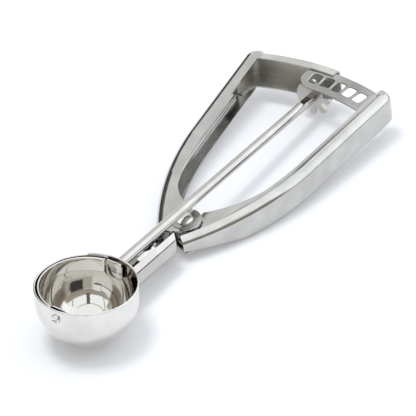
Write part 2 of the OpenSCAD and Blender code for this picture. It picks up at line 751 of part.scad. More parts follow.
module upper_spacer() {
    color("gray") at_rest() washer(ear_top_z, spacer_h - sheet_gap, ear_r - 0.5, rivet_r + bore_gap);
}

module lower_shim() {
    color("gainsboro") at_rest() washer(moving_low_z - sheet_gap, washer_t, washer_r, rivet_r + bore_gap);
}

module spring_bush() {
    color("gray") at_rest()
        washer(spring_top_z - sheet_gap, spring_room - 2 * sheet_gap, coil_r - wire_d, rivet_r + bore_gap);
}

// Coil round the bush with two arms that press the handles apart
module torsion_spring() {
    start_a = 90 + arm_angle;
    turn = 360 * coil_turns + 180 - 2 * arm_angle;
    steps = 18 * coil_turns;
    drop = wire_d * 1.1 / 360;
    top = (spring_top_z + spring_low_z + turn * drop) / 2;
    coil = [for (k = [0 : steps]) let (a = start_a + turn * k / steps)
        [coil_r * cos(a), coil_r * sin(a), top - drop * turn * k / steps, a + 90]];
    first = coil[0];
    last = coil[steps];
    path = concat(
        [[first.x - arm_l * cos(first[3]), first.y - arm_l * sin(first[3]), first.z, first[3]]],
        coil,
        [[last.x + arm_l * cos(last[3]), last.y + arm_l * sin(last[3]), last.z, last[3]]]);
    color("slategray") at_rest() in_grip_plane() loft([for (p = path) [for (i = [0 : 7])
        [p.x, p.y, p.z] + wire_d / 2 * [-sin(p[3]) * cos(45 * i), cos(p[3]) * cos(45 * i), sin(45 * i)]]]);
}

bowl();
bowl_saddle();
shank();
bowl_bearing();
front_pin();
scraper_blade();
rod();
pinion();
fixed_handle();
guide_channel();
moving_handle();
rack();
pivot_rivet();
head_washer();
tail_washer();
upper_spacer();
lower_shim();
spring_bush();
torsion_spring();
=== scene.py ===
import json
import math

import bmesh
import bpy
from mathutils import Matrix, Vector


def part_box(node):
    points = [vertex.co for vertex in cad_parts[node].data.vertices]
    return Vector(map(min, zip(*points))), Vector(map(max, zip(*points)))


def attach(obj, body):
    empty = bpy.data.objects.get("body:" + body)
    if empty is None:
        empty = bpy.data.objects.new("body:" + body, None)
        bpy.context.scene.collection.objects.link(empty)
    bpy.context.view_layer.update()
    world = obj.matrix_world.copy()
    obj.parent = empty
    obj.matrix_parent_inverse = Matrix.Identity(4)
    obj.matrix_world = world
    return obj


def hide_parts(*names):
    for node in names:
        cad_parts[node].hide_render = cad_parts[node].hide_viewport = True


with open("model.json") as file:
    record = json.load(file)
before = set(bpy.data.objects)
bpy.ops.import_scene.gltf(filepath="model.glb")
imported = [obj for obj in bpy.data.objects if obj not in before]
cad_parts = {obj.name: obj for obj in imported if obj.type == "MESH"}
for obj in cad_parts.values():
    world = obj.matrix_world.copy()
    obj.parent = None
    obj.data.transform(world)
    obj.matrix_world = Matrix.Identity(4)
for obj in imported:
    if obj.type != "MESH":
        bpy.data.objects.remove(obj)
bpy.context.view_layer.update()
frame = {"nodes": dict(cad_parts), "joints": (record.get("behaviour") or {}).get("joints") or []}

# ---------------------------------------------------------------------------------------------
# Axes of the scoop. The rod turns about one line and the handles about another, and every
# piece is laid out along one of them: X towards the handles, Z out of the bowl's mouth.
# Shapes are worked out in millimetres and placed in metres.
MM = 0.001
joints = {joint["name"]: joint for joint in frame["joints"]}
rod_spin = joints["rod_spin"]


def axes_at(joint, along_x):
    """The joint's place, with its axis along X or else along Z, and Y across the scoop."""
    main = Vector(joint["axis"]).normalized()
    across = Vector((0, 1, 0))
    x, z = (main, main.cross(across)) if along_x else (across.cross(main), main)
    turn = Matrix((x, across, z)).transposed().to_4x4()
    return Matrix.Translation(joint["pos_m"]) @ turn @ Matrix.Scale(MM, 4)


rod_line = axes_at(rod_spin, True)
grip_line = axes_at(joints["handle_squeeze"], False)


# ---------------------------------------------------------------------------------------------
# The camera looks down over the bowl's left side along the open handles, from far away
# with a long lens. Its eye is so many millimetres right, up and back from the bowl's middle.
def put(name, data):
    """A new object in the scene."""
    thing = bpy.data.objects.new(name, data)
    bpy.context.scene.collection.objects.link(thing)
    return thing


azimuth, elevation, roll = (math.radians(a) for a in (-55.244, 34.164, -2.05))
eye_right, eye_up, eye_back = 58.097, 40.433, 1700
focal_pixels, picture_pixels, sensor_mm = 3555.7, 416, 36
back = Vector((math.sin(azimuth) * math.cos(elevation),
               -math.cos(azimuth) * math.cos(elevation),
               math.sin(elevation)))
level_right = Vector((math.cos(azimuth), math.sin(azimuth), 0))
level_up = back.cross(level_right)
right = math.cos(roll) * level_right + math.sin(roll) * level_up
up = -math.sin(roll) * level_right + math.cos(roll) * level_up
eye = eye_right * right + eye_up * up + eye_back * back
rod_turn = rod_line.to_3x3().normalized().to_4x4()
camera_turn = Matrix((right, up, back)).transposed().to_4x4()
camera = put("camera", bpy.data.cameras.new("camera"))
camera.data.sensor_width = sensor_mm
camera.data.lens = focal_pixels / picture_pixels * sensor_mm
camera.data.clip_end = 50
camera.matrix_world = Matrix.Translation(rod_line @ eye) @ rod_turn @ camera_turn
bpy.context.scene.camera = camera
bpy.context.scene.view_settings.view_transform = "Standard"


# ---------------------------------------------------------------------------------------------
# The studio: a white paper floor and two soft boxes, in a room that the polished steel
# mirrors. Bright panels hang overhead, and below them stand warm walls with a window on the
# right, a dark screen at the back and a dark stand in front.
class Signal:
    """A number on its way through a material; sums and products add their nodes."""

    def __init__(self, board, socket):
        self.board, self.socket = board, socket

    def join(self, operation, *others):
        return self.board.add("ShaderNodeMath", [self, *others], operation=operation)[0]

    def __add__(self, other):
        return self.join("ADD", other)

    def __mul__(self, other):
        return self.join("MULTIPLY", other)

    def __sub__(self, other):
        return self.join("SUBTRACT", other)

    def __rsub__(self, other):
        return self.board.add("ShaderNodeMath", [other, self], operation="SUBTRACT")[0]

    def __truediv__(self, other):
        return self.join("DIVIDE", other)

    def step(self, start, end):
        """Nothing before start and one past end, with a soft slope between them."""
        limits = [self, start, end]
        return self.board.add("ShaderNodeMapRange", limits, interpolation_type="SMOOTHSTEP")[0]

    def drop(self, start, end):
        """One before start and nothing past end."""
        return 1 - self.step(start, end)

    def band(self, rise, fall):
        """One between a slope up and a slope down."""
        return self.step(*rise) - self.step(*fall)

    __radd__ = __add__
    __rmul__ = __mul__


class Board:
    """The nodes of one material, of the room or of a piece made by rule."""

    def __init__(self, tree):
        self.tree = tree
        tree.nodes.clear()

    def add(self, kind, values=(), **settings):
        """The outputs of a new node. Its inputs are given by name or in order."""
        node = self.tree.nodes.new(kind)
        for name, value in settings.items():
            setattr(node, name, value)
        pairs = values.items() if isinstance(values, dict) else enumerate(values)
        for key, value in pairs:
            if isinstance(value, Signal):
                self.tree.links.new(value.socket, node.inputs[key])
            else:
                node.inputs[key].default_value = value
        return [Signal(self, socket) for socket in node.outputs]

    def mix(self, amount, first, second):
        """A colour between two others, each a signal or three numbers."""
        node = self.tree.nodes.new("ShaderNodeMix")
        node.data_type = "RGBA"
        for index, value in ((0, amount), (6, first), (7, second)):
            if isinstance(value, Signal):
                self.tree.links.new(value.socket, node.inputs[index])
            else:
                node.inputs[index].default_value = value if index == 0 else (*value, 1)
        return Signal(self, node.outputs[2])

    def gather(self, *parts):
        """Several geometries as one."""
        node = self.tree.nodes.new("GeometryNodeJoinGeometry")
        for part in parts:
            self.tree.links.new(part.socket, node.inputs[0])
        return Signal(self, node.outputs[0])


# Directions in the room run from -1 to 1: up, away from the camera, and to the camera's left.
away_x, away_y = 0.82, 0.57
room = bpy.data.worlds.new("room")
bpy.context.scene.world = room
room.use_nodes = True
board = Board(room.node_tree)
direction = board.add("ShaderNodeTexCoord")[0]
x, y, height = board.add("ShaderNodeSeparateXYZ", [direction])
behind = x * away_x + y * away_y
left = y * away_x - x * away_y
beside = left.join("ABSOLUTE")

upper_wall = height.step(0.3, 0.6)
stand = height.step(0.54, 0.56) * beside.drop(0.08, 0.10)
far_wall = behind.step(-0.25, 0.15)
skirting = height.band((0.03, 0.05), (0.22, 0.32)) * left.step(-0.4, -0.2) * behind.drop(0.3, 0.5)
screen_edge = (left + height * 0.15).step(0.265, 0.295)
screen = height.band((0.03, 0.05), (0.57, 0.64)) * behind.step(0.2, 0.4) * screen_edge
window = height.step(0.09, 0.13) * left.drop(-0.45, -0.30) * behind.step(-0.40, -0.25)
ledge = height.band((0.01, 0.03), (0.09, 0.11)) * left.drop(-0.5, -0.3)
paper_edge = height.drop(0.0, 0.03)

# The panels start lower in front. A cross seam and, below it, a gap and two bars part them.
below_seam = height.drop(0.84, 0.85)
seam = height.band((0.835, 0.840), (0.850, 0.855))
gap = beside.drop(0.06, 0.075) * behind.drop(-0.2, -0.1) * below_seam
bars = beside.band((0.56, 0.57), (0.59, 0.60)) * below_seam
panel_foot = 0.745 - 0.145 * behind.drop(-0.35, -0.2)
panels = (height - panel_foot).step(-0.005, 0.005)
panels = panels * (1 - gap.join("MAXIMUM", seam).join("MAXIMUM", bars))

paint = (0.42, 0.38, 0.33)
for share, color in ((upper_wall, (0.62, 0.59, 0.51)), (stand, (0.22, 0.21, 0.19)),
                     (far_wall, (1.12, 1.13, 1.13)), (skirting, (0.20, 0.18, 0.155)),
                     (screen, (0.13, 0.13, 0.125)), (window, (1.85, 1.90, 2.00)),
                     (ledge, (0.24, 0.21, 0.18)), (paper_edge, (0.95, 0.95, 0.95)),
                     (panels, (1.62, 1.70, 1.75))):
    paint = board.mix(share, paint, color)
room_strength = 0.85
room_light = board.add("ShaderNodeBackground", [paint, room_strength])
board.add("ShaderNodeOutputWorld", [room_light[0]])

# The paper glows a little to the camera, to mirrors and through glass, so it comes out white.
paper_half, paper_color, glow_share = 30, (0.68, 0.69, 0.72, 1), 0.25
corners = [(x * paper_half, y * paper_half, 0) for x, y in ((-1, -1), (1, -1), (1, 1), (-1, 1))]
paper_mesh = bpy.data.meshes.new("floor")
paper_mesh.from_pydata(corners, [], [(0, 1, 2, 3)])
floor = put("floor", paper_mesh)
paper = bpy.data.materials.new("white_paper")
paper.use_nodes = True
board = Board(paper.node_tree)
ray = board.add("ShaderNodeLightPath")
camera_ray, mirror_ray, glass_ray = ray[0], ray[3], ray[6]
matt = board.add("ShaderNodeBsdfDiffuse", [paper_color])
glow = board.add("ShaderNodeEmission", [(1, 1, 1, 1), 1.0])
seen = (camera_ray + mirror_ray + glass_ray) * glow_share
share = board.add("ShaderNodeMixShader", [seen, matt[0], glow[0]])
board.add("ShaderNodeOutputMaterial", [share[0]])
paper_mesh.materials.append(paper)


def soft_box(name, place, width, depth, watts):
    """A lamp that faces the origin. The steel mirrors the room's panels in its stead."""
    lamp = bpy.data.lights.new(name, "AREA")
    lamp.shape, lamp.size, lamp.size_y = "RECTANGLE", width, depth
    lamp.energy = watts
    holder = put(name, lamp)
    holder.location = place
    holder.visible_glossy = False
    down = Vector(place).normalized()
    side = -Vector((away_y, -away_x, 0)).cross(down).cross(down).normalized()
    holder.rotation_euler = Matrix((side, down.cross(side), down)).transposed().to_euler()


soft_box("left_box", place=(-0.24, 0.34, 2.0), width=0.6, depth=0.7, watts=23.0)
soft_box("right_box", place=(0.5, -0.7, 2.0), width=1.2, depth=1.6, watts=1.5)


# ---------------------------------------------------------------------------------------------
# The bowl is spun from one millimetre stainless sheet and polished to a mirror. Its inside
# is coloured darker and warmer as painted shade. Its rim stands straight up past the half
# round and has a rounded edge.
def steel(name, dark, light, rough, haze, ripple, shaded_hollow=None):
    """Polished stainless: faint smudges, fine rubbing lines and a slow ripple of the sheet.

    Given a centre, a radius and a colour, what lies nearer the centre takes that colour, as painted shade
    in a hollow.
    """
    material = bpy.data.materials.new(name)
    material.use_nodes = True
    board = Board(material.node_tree)

    def cloud(vector, scale, detail):
        return board.add("ShaderNodeTexNoise", {"Vector": vector, "Scale": scale, "Detail": detail})[0]

    line_scale, line_height, bump_depth, shade_blur = (90.0, 1400.0, 1400.0), 0.02, 0.0004, 0.0001
    place = board.add("ShaderNodeTexCoord")[3]
    drawn = board.add("ShaderNodeMapping", {"Vector": place, "Scale": line_scale})[0]
    smudge = cloud(place, scale=70.0, detail=4.0)
    lines = cloud(drawn, scale=1.0, detail=3.0)
    wave = cloud(place, scale=28.0, detail=1.0)
    color = board.mix(smudge.step(0.35, 0.7), dark, light)
    if shaded_hollow:
        centre, radius, shade_tint = shaded_hollow
        away = board.add("ShaderNodeVectorMath", [place, centre], operation="DISTANCE")[1]
        # Painted shade: nearer the centre than the radius, the colour turns to the darker tint
        color = board.mix((radius - away).step(0.0, shade_blur), color, shade_tint)
    roughness = rough + haze * smudge.step(0.4, 0.75) + 0.5 * haze * lines
    relief = ripple * wave + line_height * lines
    bump = board.add("ShaderNodeBump", {"Strength": 1.0, "Distance": bump_depth, "Height": relief})
    shader = board.add("ShaderNodeBsdfPrincipled",
                       {"Base Color": color, "Metallic": 1.0, "Roughness": roughness, "Normal": bump[0]})
    board.add("ShaderNodeOutputMaterial", [shader[0]])
    return material


def smooth(mesh, crease):
    """Smooth shading, but for edges that bend by more than the crease in degrees."""
    mesh.shade_smooth()
    mesh.set_sharp_from_angle(angle=math.radians(crease))


def piece(name, points, faces, place, crease=35):
    """A closed form or an open sheet from points in millimetres, with outward normals."""
    mesh = bpy.data.meshes.new(name)
    mesh.from_pydata([place @ Vector(p) for p in points], [], faces)
    work = bmesh.new()
    work.from_mesh(mesh)
    bmesh.ops.remove_doubles(work, verts=work.verts, dist=1e-6)
    bmesh.ops.recalc_face_normals(work, faces=work.faces)
    work.to_mesh(mesh)
    work.free()
    smooth(mesh, crease)
    return put(name, mesh)


def fit(thing, material, body, slot, *nodes):
    """Gives a piece its steel and its body, and hides the solids that it stands for."""
    thing.data.materials.clear()
    thing.data.materials.append(material)
    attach(thing, body)
    if nodes:
        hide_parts(*nodes)


def arc(cx, cy, r, start, end, steps):
    """Points round part of a circle, between two angles in degrees."""
    angles = (math.radians(start + (end - start) * k / steps) for k in range(steps + 1))
    return [(cx + r * math.cos(a), cy + r * math.sin(a)) for a in angles]


def spun(profile, steps, along="Z"):
    """Points and faces of a closed outline of (radius, height) turned about Z or X."""
    points, faces = [], []
    count = len(profile)
    for k in range(steps):
        turn = 2 * math.pi * k / steps
        for r, h in profile:
            u, v = r * math.cos(turn), r * math.sin(turn)
            points.append((u, v, h) if along == "Z" else (h, u, v))
        a, b = k * count, (k + 1) % steps * count
        for i in range(count):
            j = (i + 1) % count
            loop = [a + i, a + j]
            if profile[j][0] > 0:
                loop.append(b + j)
            if profile[i][0] > 0:
                loop.append(b + i)
            if len(loop) > 2:
                faces.append(loop)
    return points, faces


bowl_r, bowl_wall, bowl_drop, rim_rise = 25.4, 1.0, 1.6, 5.0
rim_r = bowl_wall / 2
round_steps, rim_steps, turn_steps = 48, 10, 192
outline = (arc(0, -bowl_drop, bowl_r, -90, 0, round_steps)
           + arc(bowl_r - rim_r, rim_rise - rim_r, rim_r, 0, 180, rim_steps)
           + arc(0, -bowl_drop, bowl_r - bowl_wall, 0, -90, round_steps))
for on_axis in (0, -1):
    outline[on_axis] = (0, outline[on_axis][1])
bowl = piece("bowl_shell", *spun(outline, turn_steps), rod_line, crease=80)

mirror_finish = {"dark": (0.68, 0.66, 0.635), "light": (0.77, 0.75, 0.725),
                 "rough": 0.025, "haze": 0.04, "ripple": 0.30}
bowl_centre = tuple(rod_line @ Vector((0, 0, -bowl_drop)))
mid_wall = (bowl_r - bowl_wall / 2) * MM
# The bowl's inner face is painted darker and warmer, as painted shade
bowl_steel = steel("bowl_steel", **mirror_finish, shaded_hollow=(bowl_centre, mid_wall, (0.60, 0.58, 0.54)))
fit(bowl, bowl_steel, "frame", "polished_steel", "bowl")


# ---------------------------------------------------------------------------------------------
# The saddle is a curved stainless plate with rounded lower corners, brazed to the back of
# the bowl so that the tube behind it has a broad seat.
def rounded(half, corner, from_end):
    """Half the width of a plate with round corners, some way from its end."""
    dip = max(0.0, corner - from_end)
    return half - corner + math.sqrt(max(0.0, corner ** 2 - dip ** 2))


def grid_faces(rows, columns):
    """Faces between rows of points that lie side by side."""
    step = columns + 1
    starts = (i * step + j for i in range(rows) for j in range(columns))
    return [(a, a + 1, a + step + 1, a + step) for a in starts]


def soften(thing, width):
    """Breaks the edges where two faces meet at more than a slight bend."""
    edge = thing.modifiers.new("edge", "BEVEL")
    edge.width, edge.segments = width * MM, 2
    edge.limit_method, edge.angle_limit = "ANGLE", math.radians(50)
    even = thing.modifiers.new("even", "WEIGHTED_NORMAL")
    even.keep_sharp, even.weight = True, 80


def thicken(thing, thickness, offset, edge=0.12):
    """Gives an open sheet its wall, outwards (1), inwards (-1) or both ways (0)."""
    wall = thing.modifiers.new("wall", "SOLIDIFY")
    wall.thickness, wall.offset, wall.use_even_offset = thickness * MM, offset, True
    soften(thing, edge)


seat_gap = 0.05
saddle_r = bowl_r + seat_gap
saddle_half, saddle_low, saddle_top, saddle_corner, saddle_t = 14.0, 17.0, 5.6, 8.0, 1.0
rows, columns, crowding = 48, 32, 1.5

# The rows lie closer together at the rounded end
points = []
for i in range(rows + 1):
    z = -saddle_low + (saddle_low + saddle_top) * (i / rows) ** crowding
    half = rounded(saddle_half, saddle_corner, z + saddle_low)
    reach = math.sqrt(saddle_r ** 2 - min(0.0, z + bowl_drop) ** 2)
    for j in range(columns + 1):
        y = half * (2 * j / columns - 1)
        points.append((math.sqrt(reach ** 2 - y * y), y, z))
mirror_steel = steel("mirror_steel", **mirror_finish)
saddle = piece("saddle_plate", points, grid_faces(rows, columns), rod_line, crease=60)
thicken(saddle, saddle_t, offset=1)
fit(saddle, mirror_steel, "frame", "polished_steel", "bowl_saddle")

# ---------------------------------------------------------------------------------------------
# The shank is a stainless tube with a slot milled along its top for the rod. It is brazed
# to the saddle, and its rear end is cut hollow.
drawn_steel = steel("drawn_steel", dark=(0.52, 0.505, 0.48), light=(0.60, 0.585, 0.56),
                    rough=0.03, haze=0.05, ripple=0.15)
tube_r, tube_t, tube_drop, tube_end, slot_half, end_cut = 7.6, 1.0, 9.3, 68.0, 4.6, 8.0
joint_r = saddle_r + saddle_t + seat_gap
slot_a = math.degrees(math.asin(slot_half / tube_r))
around, along = 72, 60
points = []
for i in range(around + 1):
    a = math.radians(90 + slot_a + (360 - 2 * slot_a) * i / around)
    y, z = tube_r * math.cos(a), tube_r * math.sin(a) - tube_drop
    start = math.sqrt(joint_r ** 2 - y * y - min(0.0, z + bowl_drop) ** 2)
    end = tube_end + end_cut / 2 - math.sqrt(max(0.0, end_cut ** 2 - (z + tube_drop) ** 2))
    points += [(start + (end - start) * j / along, y, z) for j in range(along + 1)]
shank = piece("shank_tube", points, grid_faces(around, along), rod_line, crease=60)
thicken(shank, tube_t, offset=-1)
fit(shank, drawn_steel, "frame", "polished_steel", "shank")

# ---------------------------------------------------------------------------------------------
# A turned bush carries the rod through the back of the bowl, and a headed pin with a
# dimpled head carries the other end of the scraper blade.
satin_steel = steel("satin_steel", dark=(0.36, 0.355, 0.34), light=(0.46, 0.455, 0.44),
                    rough=0.13, haze=0.12, ripple=0.25)
rod_r, running_gap = 2.6, 0.05
bush_in, bush_out, bush_l, bush_edge = rod_r + running_gap, rod_r + 1.0, 3.0, 0.2
bush_start = math.sqrt((bowl_r - bowl_wall) ** 2 - bush_out ** 2)
outline = [(bush_in, bush_start), (bush_out - bush_edge, bush_start), (bush_out, bush_start + bush_edge),
           (bush_out, bush_start + bush_l), (bush_in, bush_start + bush_l)]
bush = piece("rod_bush", *spun(outline, 64, "X"), rod_line)
fit(bush, satin_steel, "frame", "brushed_steel", "bowl_bearing")

pin_r, pin_end, head_r, head_h, head_corner = 1.8, -22.0, 2.5, 1.2, 0.5
head_x = -bowl_r - head_h
dimple = arc(0, head_x - pin_r / 2, pin_r, 90, 30, 10)
outline = ([(0, dimple[0][1])] + dimple[1:]
           + arc(head_r - head_corner, head_x + head_corner, head_corner, -90, 0, 6)
           + [(head_r, -bowl_r), (pin_r, -bowl_r), (pin_r, pin_end), (0, pin_end)])
front_pin = piece("bowl_pin", *spun(outline, 64, "X"), rod_line)
fit(front_pin, mirror_steel, "frame", "polished_steel", "front_pin")


# ---------------------------------------------------------------------------------------------
# The scraper blade is a strip of thin stainless bent to the bowl's round, with a broader
# tab at each end. The rear tab is staked on the rod's squared end.
def ease(t):
    """A soft start and end on the way from nothing to one."""
    return t * t * (3 - 2 * t)


blade_r, blade_t, blade_w, blade_rest = 23.9, 0.8, 7.6, 3.0
tab_w, tab_past, tab_corner, tab_top, tab_gap, taper = 9.4, 5.0, 1.5, 3.4, 0.5, 1.6
bend_start, bend_end, bend_rise = 8.5, 14.0, 3.2
hollow_start, hollow_near = 6.0, 0.3
mid_r = blade_r - blade_t / 2
tab_x = math.sqrt(blade_r ** 2 - (tab_w / 2) ** 2) - blade_t - tab_gap
tab_mid = tab_x + blade_t / 2
tab_steps, bend_steps, strip_steps, across = 20, 12, 60, 16

# Half of the strip's middle line, from the rear tab to half way round, and its mirror image
path = [(tab_mid, -tab_past + (tab_top + tab_past) * k / tab_steps) for k in range(tab_steps + 1)]
for k in range(bend_steps + 1):
    t = k / bend_steps
    flat = Vector((tab_mid, tab_top + bend_rise * t))
    a = math.radians(bend_start + (bend_end - bend_start) * t)
    on_round = Vector((mid_r * math.cos(a), mid_r * math.sin(a)))
    path.append(tuple(flat.lerp(on_round, ease(t))))
path += arc(0, 0, mid_r, bend_end, 90, strip_steps)[1:]
path += [(-x, y) for x, y in reversed(path[:-1])]

# The strip is hollowed across as well, where it lies on the bowl's round
points = []
for x, y in path:
    if y < tab_top:
        half = rounded(tab_w / 2, tab_corner, y + tab_past)
    else:
        half = tab_w / 2 + (blade_w / 2 - tab_w / 2) * ease(min(1.0, (y - tab_top) / taper))
    hollowed = y > hollow_start and math.hypot(x, y) > mid_r - hollow_near
    for j in range(across + 1):
        z = half * (2 * j / across - 1)
        pull = math.sqrt(mid_r ** 2 - z * z) / mid_r if hollowed else 1
        points.append((x * pull, y * pull, z))
blade_turn = Matrix.Rotation(math.radians(blade_rest), 4, "X")
blade = piece("scraper_strip", points, grid_faces(len(path) - 1, across), rod_line @ blade_turn, crease=60)
thicken(blade, blade_t, offset=0, edge=0.1)
fit(blade, mirror_steel, "scraper", "polished_steel", "scraper_blade")

# ---------------------------------------------------------------------------------------------
# The rod is drawn stainless bar with two flats under the pinion, a squared front end and a
# thin rear journal.
rod_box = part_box("rod")
rod_slope = math.asin(-rod_spin["axis"][2])
rod_end = (rod_box[1].x - rod_spin["pos_m"][0]) / math.cos(rod_slope) / MM
pinion_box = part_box("pinion")
pinion_mid = (pinion_box[0] + pinion_box[1]) / 2
pinion_x = (rod_line.inverted() @ Vector((pinion_mid.x, 0, pinion_mid.z))).x
pinion_t, flats_l, flat_half, journal_r = 1.5, 11.0, 2.0, 1.2
front_edge, rear_edge, no_flat, bar_steps = 0.25, 0.2, 9, 40
rod_start = tab_x + blade_t + seat_gap
bar_start = rod_start + front_edge
flats_start = pinion_x - pinion_t / 2 - flats_l
rod_back = pinion_x + pinion_t / 2

# A section is its place, its radius and how far up and down its flats let it reach
sections = [(rod_start, rod_r - front_edge, no_flat)]
sections += [(bar_start + (flats_start - bar_start) * k / bar_steps, rod_r, no_flat)
             for k in range(bar_steps + 1)]
sections += [(flats_start, rod_r, flat_half), (rod_back - rear_edge, rod_r, flat_half),
             (rod_back, rod_r - rear_edge, flat_half - rear_edge), (rod_back, journal_r, no_flat),
             (rod_end - rear_edge, journal_r, no_flat), (rod_end, journal_r - rear_edge, no_flat)]
points, faces = [], []
around = 64
for i, (x, r, flat) in enumerate(sections):
    for k in range(around):
        a = 2 * math.pi * k / around
        points.append((x, r * math.cos(a), max(-flat, min(flat, r * math.sin(a)))))
        if i:
            here, last, n = i * around, (i - 1) * around, (k + 1) % around
            faces.append((last + k, last + n, here + n, here + k))
faces.append(tuple(range(around)))
faces.append(tuple(range(len(points) - around, len(points))))

# The squared end passes through the blade's tab, at the blade's own angle
square_half_w, square_half_h, square_root = 2.0, 1.5, rod_start + 0.1
square = [(x, y, z) for x in (tab_x, square_root)
          for y in (-square_half_w, square_half_w) for z in (-square_half_h, square_half_h)]
first = len(points)
points += [blade_turn @ Vector(p) for p in square]
faces += [tuple(first + i for i in side) for side in
          ((0, 1, 3, 2), (4, 6, 7, 5), (0, 4, 5, 1), (2, 3, 7, 6), (0, 2, 6, 4), (1, 5, 7, 3))]
rod = piece("drive_rod", points, faces, rod_line, crease=40)
fit(rod, drawn_steel, "scraper", "polished_steel", "rod")


# ---------------------------------------------------------------------------------------------
# The handles are pressed from one millimetre stainless sheet and polished: a plain channel
# on the fixed side, and on the moving side one with a ridge and a broad lip along its top.
def pressed(name, node, edge):
    """The solid's own sheet with its triangles joined, its bends smooth and its edges broken."""
    mesh = frame["nodes"][node].data.copy()
    mesh.name = name
    work = bmesh.new()
    work.from_mesh(mesh)
    bmesh.ops.remove_doubles(work, verts=work.verts, dist=2e-6)
    bmesh.ops.dissolve_limit(work, angle_limit=math.radians(0.3), verts=work.verts, edges=work.edges)
    work.to_mesh(mesh)
    work.free()
    smooth(mesh, crease=30)
    thing = put(name, mesh)
    soften(thing, edge)
    return thing


pressed_steel = steel("pressed_steel", dark=(0.50, 0.494, 0.478), light=(0.585, 0.578, 0.56),
                      rough=0.05, haze=0.06, ripple=0.12)
fixed_handle = pressed("fixed_grip", "fixed_handle", edge=0.4)
fit(fixed_handle, pressed_steel, "frame", "polished_steel", "fixed_handle")
moving_handle = pressed("moving_grip", "moving_handle", edge=0.4)
fit(moving_handle, pressed_steel, "squeeze_handle", "polished_steel", "moving_handle")

# ---------------------------------------------------------------------------------------------
# The guide is a smaller channel brazed into the fixed handle's rear end. The rack slides
# through it and the rod's journal turns in its web.
raw_steel = steel("raw_steel", dark=(0.53, 0.515, 0.485), light=(0.67, 0.65, 0.615),
                  rough=0.34, haze=0.22, ripple=0.2)
guide = pressed("rack_guide", "guide_channel", edge=0.36)
fit(guide, raw_steel, "frame", "brushed_steel", "guide_channel")


# ---------------------------------------------------------------------------------------------
# The rack is stamped from stainless sheet and brazed to the moving handle's lip. A row of
# five windows along it takes the pinion's teeth as the handles close.
def grown(name, build, sizes, place, material, outline=None):
    """A plain mesh that Geometry Nodes make from named sizes and, if given, an outline."""
    tree = bpy.data.node_groups.new(name, "GeometryNodeTree")
    board = Board(tree)
    tree.interface.new_socket("Outline", in_out="INPUT", socket_type="NodeSocketGeometry")
    for size, value in sizes.items():
        kind = "NodeSocketInt" if isinstance(value, int) else "NodeSocketFloat"
        tree.interface.new_socket(size, in_out="INPUT", socket_type=kind)
    tree.interface.new_socket("Piece", in_out="OUTPUT", socket_type="NodeSocketGeometry")
    inputs = board.add("NodeGroupInput")[:len(sizes) + 1]
    shape = build(board, *inputs)
    shape = board.add("GeometryNodeRealizeInstances", [shape])[0]
    shape = board.add("GeometryNodeSetMaterial", {"Geometry": shape, "Material": material})[0]
    board.add("NodeGroupOutput", [shape])
    thing = put(name, outline or bpy.data.meshes.new(name))
    maker = thing.modifiers.new("maker", "NODES")
    maker.node_group = tree
    for item in tree.interface.items_tree:
        if item.name in sizes:
            maker[item.identifier] = sizes[item.name]
    made = thing.evaluated_get(bpy.context.evaluated_depsgraph_get())
    mesh = bpy.data.meshes.new_from_object(made)
    thing.modifiers.remove(maker)
    mesh.transform(place)
    smooth(mesh, crease=30)
    thing.data = mesh
    return thing


def around_origin(board, angle, radius):
    """The point at an angle and a radius."""
    return board.add("ShaderNodeCombineXYZ",
                     [angle.join("COSINE") * radius, angle.join("SINE") * radius, 0.0])[0]


def stamped(board, outlines, thickness):
    """A flat plate inside closed outlines, with holes where they lie inside one another."""
    sheet = board.add("GeometryNodeFillCurve", [outlines])[0]
    rise = board.add("ShaderNodeCombineXYZ", [0.0, 0.0, thickness])[0]
    raised = board.add("GeometryNodeExtrudeMesh",
                       {"Mesh": sheet, "Offset": rise, "Offset Scale": 1.0, "Individual": False})[0]
    under = board.add("GeometryNodeFlipFaces", [sheet])[0]
    whole = board.gather(raised, under)
    return board.add("GeometryNodeMergeByDistance", {"Geometry": whole, "Distance": 0.001})[0]


def slotted_plate(board, outline, count, step, middle, length, width, corner, thickness):
    """The outline's plate with round-cornered windows in a row about the origin."""
    window = board.add("GeometryNodeCurvePrimitiveQuadrilateral", {"Width": length, "Height": width})[0]
    window = board.add("GeometryNodeFilletCurve",
                       {"Curve": window, "Count": 8, "Radius": corner}, mode="POLY")[0]
    turn = board.add("GeometryNodeInputIndex")[0] * step
    spots = board.add("GeometryNodePoints",
                      {"Count": count, "Position": around_origin(board, turn, middle)})[0]
    facing = board.add("ShaderNodeCombineXYZ", [0.0, 0.0, turn])[0]
    windows = board.add("GeometryNodeInstanceOnPoints",
                        {"Points": spots, "Instance": window, "Rotation": facing})[0]
    windows = board.add("GeometryNodeRealizeInstances", [windows])[0]
    rim = board.add("GeometryNodeMeshToCurve", [outline])[0]
    return stamped(board, board.gather(rim, windows), thickness)


mesh_r, pitch_r, teeth, tooth_step = 120.8, 8.95, 5, math.radians(45)
rack_r, rack_half, rack_t, lip_under = mesh_r + 2.6, 8.2, 1.0, -3.55

